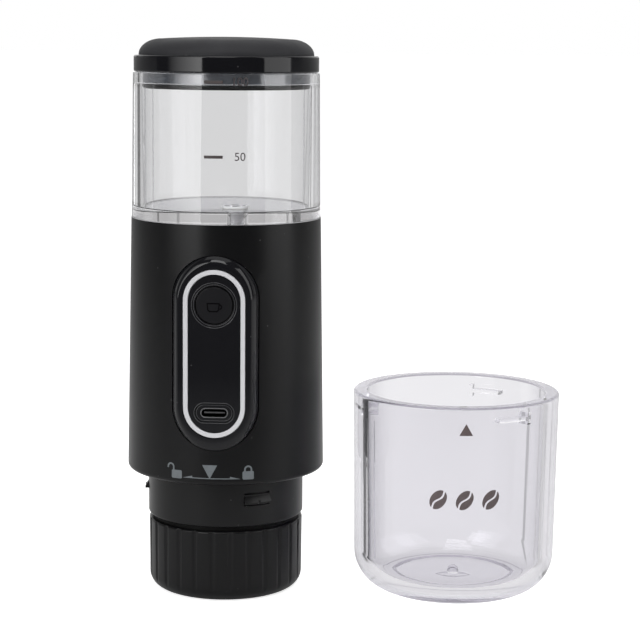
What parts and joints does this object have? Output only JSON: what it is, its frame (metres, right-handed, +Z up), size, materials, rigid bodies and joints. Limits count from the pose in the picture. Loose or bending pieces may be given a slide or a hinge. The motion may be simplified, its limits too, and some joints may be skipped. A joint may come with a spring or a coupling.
{
  "type": "portable espresso maker",
  "caption": "Upright portable espresso maker: clear lidded water tank on a tapered black body with control pod, ribbed screw-in coffee holder below and a clear bayonet cup beside it.",
  "frame": {"origin": "centre of the flat foot of the coffee holder, on the table", "axes": "+Z up along the machine's axis; the control panel faces -Y; the cup stands at +X"},
  "size_m": [0.145, 0.0717, 0.1847],
  "materials": {
    "soft_black": "soft-touch matt",
    "gloss_black": "piano gloss",
    "plug_grey": "satin gloss",
    "black_silicone": "matt silicone",
    "white_silicone": "matt silicone",
    "red_silicone": "matt silicone",
    "clear_plastic": "clear polished",
    "milk_plastic": "moulded satin",
    "matt_black": "fine matt texture",
    "dark_plastic": "moulded matt",
    "light_white": "frosted light guide",
    "steel": "brushed",
    "nickel": "nickel plate",
    "brass_cam": "machined",
    "cell_wrap": "printed film wrap",
    "board_green": "solder mask",
    "display_dark": "dark window"
  },
  "bodies": {
    "machine": {"water_tank": "clear_plastic", "tank_gasket": "black_silicone", "outlet_fitting": "milk_plastic", "outlet_washer": "white_silicone", "outlet_nut": "milk_plastic", "tank_strainer": "steel", "inlet_hose": "white_silicone", "body_shell": "matt_black", "top_deck": "matt_black", "panel_bezel": "gloss_black", "light_ring": "light_white", "control_panel": "gloss_black", "tact_switch": "dark_plastic", "display_module": "display_dark", "usb_port": "steel", "usb_gasket": "black_silicone", "circuit_board": "board_green", "chassis": "dark_plastic", "battery_cells": "cell_wrap", "battery_tabs": "nickel", "pump_motor": "steel", "pump_plunger": "steel", "plunger_spring": "steel", "valve_block": "milk_plastic", "pump_frame": "dark_plastic", "outlet_hose": "white_silicone", "brew_collar": "matt_black", "collar_screws": "steel", "shower_plate": "steel", "brew_seal": "red_silicone"},
    "lid": {"lid_dome": "soft_black", "lid_ring": "gloss_black", "lid_plug": "plug_grey", "lid_seal": "black_silicone"},
    "button": {"start_button": "gloss_black", "switch_plunger": "dark_plastic"},
    "drive": {"motor_shaft": "steel", "eccentric_cam": "brass_cam", "cam_bearing": "steel"},
    "holder_carrier": {"holder_gasket": "black_silicone"},
    "holder": {"coffee_holder": "matt_black", "filter_basket": "steel", "filter_screen": "steel", "outlet_spout": "dark_plastic"},
    "cup": {"coffee_cup": "clear_plastic"}
  },
  "joints": [
    {"name": "lid_lift", "type": "slide", "parent": "machine", "child": "lid", "axis": [0, 0, 1], "range_m": [0, 0.03]},
    {"name": "button_press", "type": "slide", "parent": "machine", "child": "button", "axis": [0, 1, 0], "range_m": [0, 0.0007], "stiffness_N_per_m": 900},
    {"name": "motor_spin", "type": "hinge", "parent": "machine", "child": "drive", "pos_m": [-0.0125, -0.008, 0.0712], "axis": [0, 0, 1], "continuous": true},
    {"name": "holder_drop", "type": "slide", "parent": "machine", "child": "holder_carrier", "axis": [0, 0, -1], "range_m": [0, 0.004]},
    {"name": "holder_turn", "type": "hinge", "parent": "holder_carrier", "child": "holder", "pos_m": [0, 0, 0.02], "axis": [0, 0, -1], "range_deg": [0, 120]},
    {"name": "cup_lift", "type": "slide", "parent": "machine", "child": "cup", "axis": [0, 0, 1], "range_m": [0, 0.08]}
  ],
  "couplings": [
    {"joint": "holder_turn", "follows": "holder_drop", "rad_per_m": 523.6}
  ]
}
